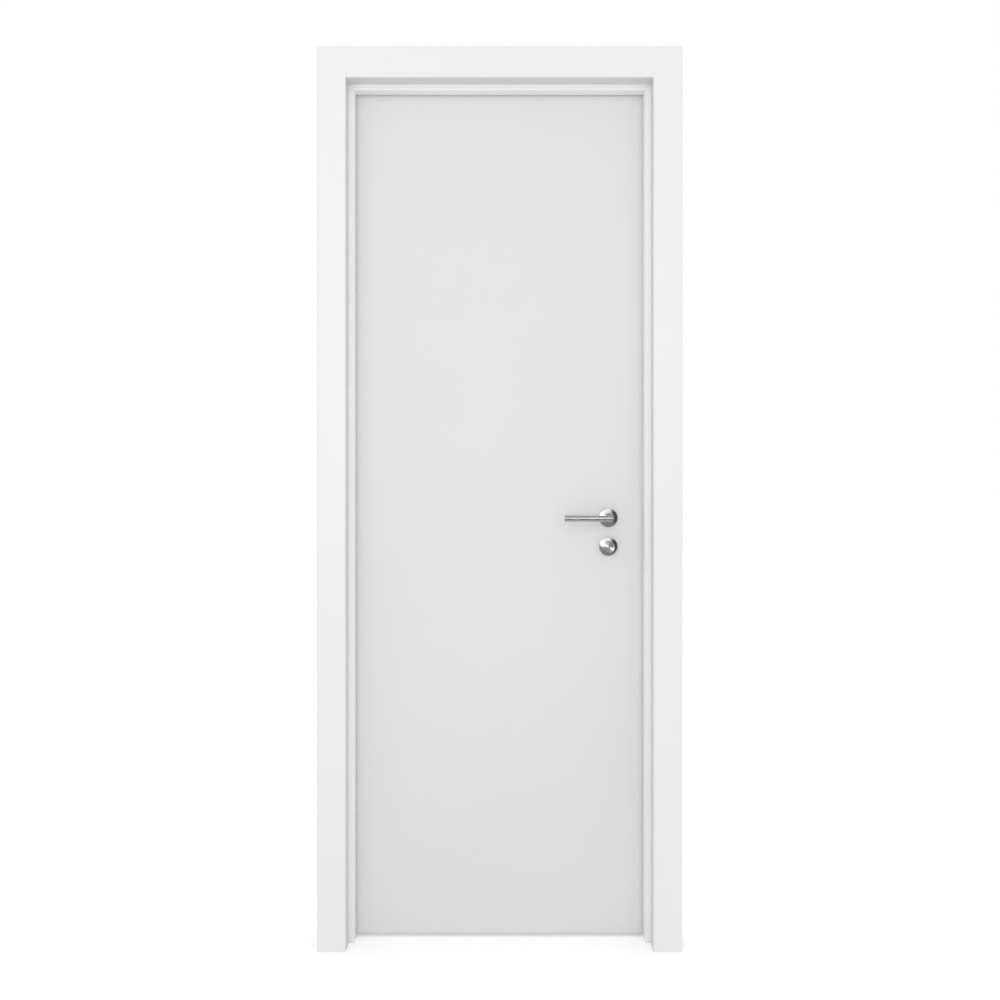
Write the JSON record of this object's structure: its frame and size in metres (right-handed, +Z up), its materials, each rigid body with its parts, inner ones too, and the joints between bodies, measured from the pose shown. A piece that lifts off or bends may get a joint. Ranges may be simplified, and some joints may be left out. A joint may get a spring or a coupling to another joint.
{
  "type": "white flush interior door in its frame",
  "caption": "White lacquered flush door leaf on butt hinges in a mitred frame with stops and seals, with steel lever handles and a round privacy turn.",
  "frame": {"origin": "on the hinge jamb's wall face, at floor level, midway through the wall's thickness", "axes": "+Z up, +X from the hinge jamb to the lock jamb, +Y from the push side, which the picture shows, to the pull side"},
  "size_m": [0.887, 0.1827, 2.198],
  "materials": {
    "frame_lacquer": "white satin lacquer on wood board",
    "leaf_lacquer": "white satin lacquer on wood board",
    "core_board": "raw particle board",
    "seal_rubber": "pale grey extruded rubber",
    "handle_steel": "brushed stainless steel",
    "lock_steel": "satin steel",
    "hinge_steel": "satin steel"
  },
  "bodies": {
    "frame": {"hinge_jamb": "frame_lacquer", "lock_jamb": "frame_lacquer", "head_jamb": "frame_lacquer", "front_architrave_hinge_side": "frame_lacquer", "front_architrave_lock_side": "frame_lacquer", "front_architrave_head": "frame_lacquer", "back_architrave_hinge_side": "frame_lacquer", "back_architrave_lock_side": "frame_lacquer", "back_architrave_head": "frame_lacquer", "hinge_side_stop": "frame_lacquer", "lock_side_stop": "frame_lacquer", "head_stop": "frame_lacquer", "hinge_side_seal": "seal_rubber", "lock_side_seal": "seal_rubber", "head_seal": "seal_rubber", "strike_plate": "lock_steel", "bottom_hinge_frame_half": "hinge_steel", "middle_hinge_frame_half": "hinge_steel", "top_hinge_frame_half": "hinge_steel", "hinge_pins": "hinge_steel"},
    "leaf": {"leaf_front_skin": "leaf_lacquer", "leaf_back_skin": "leaf_lacquer", "leaf_hinge_stile": "leaf_lacquer", "leaf_lock_stile": "leaf_lacquer", "leaf_top_rail": "leaf_lacquer", "leaf_bottom_rail": "leaf_lacquer", "leaf_core": "core_board", "lock_faceplate": "lock_steel", "lock_case": "lock_steel", "latch": "lock_steel", "deadbolt": "lock_steel", "bottom_hinge_leaf_half": "hinge_steel", "middle_hinge_leaf_half": "hinge_steel", "top_hinge_leaf_half": "hinge_steel", "front_lever_rose": "handle_steel", "back_lever_rose": "handle_steel", "front_turn_rose": "handle_steel", "back_turn_rose": "handle_steel"},
    "lever": {"front_lever": "handle_steel", "back_lever": "handle_steel", "lever_spindle": "lock_steel"},
    "turn": {"turn_knob": "handle_steel", "turn_release": "handle_steel", "turn_spindle": "lock_steel"}
  },
  "joints": [
    {"name": "leaf_swing", "type": "hinge", "parent": "frame", "child": "leaf", "pos_m": [0.0275, 0.0725, 0], "axis": [0, 0, 1], "range_deg": [0, 170]},
    {"name": "lever_press", "type": "hinge", "parent": "leaf", "child": "lever", "pos_m": [0.671, 0.045, 1.05], "axis": [0, -1, 0], "range_deg": [0, 40], "stiffness_Nm_per_rad": 1, "springref_deg": -34.38},
    {"name": "turn_lock", "type": "hinge", "parent": "leaf", "child": "turn", "pos_m": [0.671, 0.045, 0.978], "axis": [0, -1, 0], "range_deg": [0, 90]}
  ]
}
